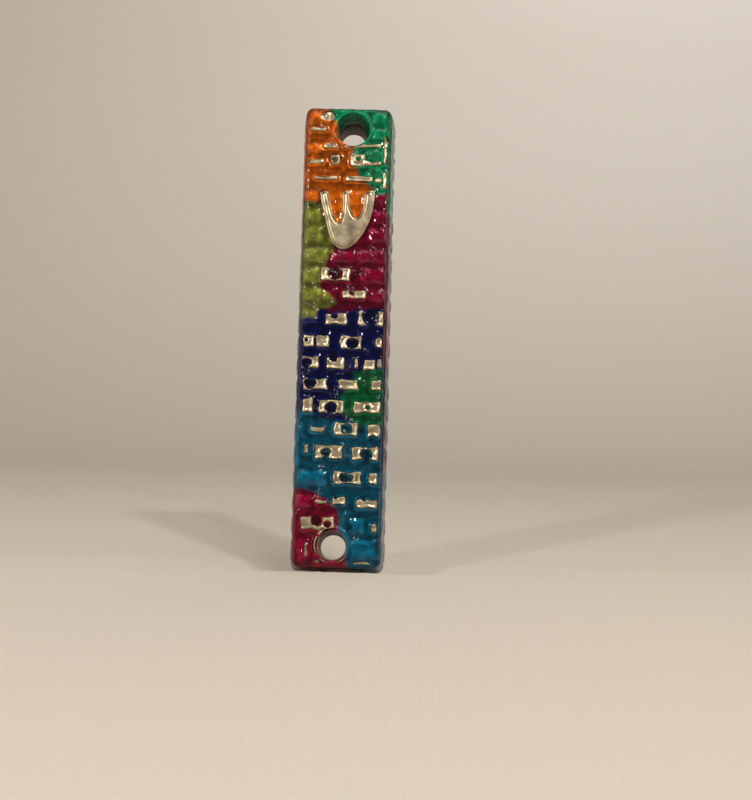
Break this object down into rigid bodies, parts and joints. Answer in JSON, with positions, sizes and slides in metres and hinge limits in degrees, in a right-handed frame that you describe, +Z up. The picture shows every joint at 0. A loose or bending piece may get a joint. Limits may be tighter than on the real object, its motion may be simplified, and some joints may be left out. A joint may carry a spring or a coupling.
{
  "type": "mezuzah case",
  "caption": "Small cast-metal doorpost scroll case with enamelled stone relief, raised three-pronged emblem, screw holes and a push-fit back cover.",
  "frame": {"origin": "centre of the back face, where the case meets the doorpost", "axes": "+Z up along the case, +X to the right as seen from the front, +Y out of the back"},
  "size_m": [0.0142, 0.0093, 0.0706],
  "materials": {
    "white_metal": "burnished",
    "enamel_orange": "glossy",
    "enamel_emerald": "glossy",
    "enamel_olive": "glossy",
    "enamel_crimson": "glossy",
    "enamel_cobalt": "glossy",
    "enamel_jade": "glossy",
    "enamel_turquoise": "glossy",
    "cover_plastic": "matt",
    "clear_film": "clear",
    "parchment": "matt"
  },
  "bodies": {
    "case": {"case_casting": "white_metal", "three_prong_emblem": "white_metal", "enamel_orange": "enamel_orange", "enamel_emerald": "enamel_emerald", "enamel_olive": "enamel_olive", "enamel_crimson_upper": "enamel_crimson", "enamel_cobalt": "enamel_cobalt", "enamel_jade": "enamel_jade", "enamel_turquoise": "enamel_turquoise", "enamel_crimson_lower": "enamel_crimson"},
    "cover": {"back_cover": "cover_plastic"},
    "scroll": {"scroll_sleeve": "clear_film", "parchment_scroll": "parchment"}
  },
  "joints": [
    {"name": "cover_pull", "type": "slide", "parent": "case", "child": "cover", "axis": [0, 1, 0], "range_m": [0, 0.026]},
    {"name": "scroll_lift", "type": "slide", "parent": "case", "child": "scroll", "axis": [0, 1, 0], "range_m": [0, 0.012]}
  ],
  "couplings": [
    {"joint": "scroll_lift", "follows": "cover_pull", "ratio": 0.45}
  ]
}
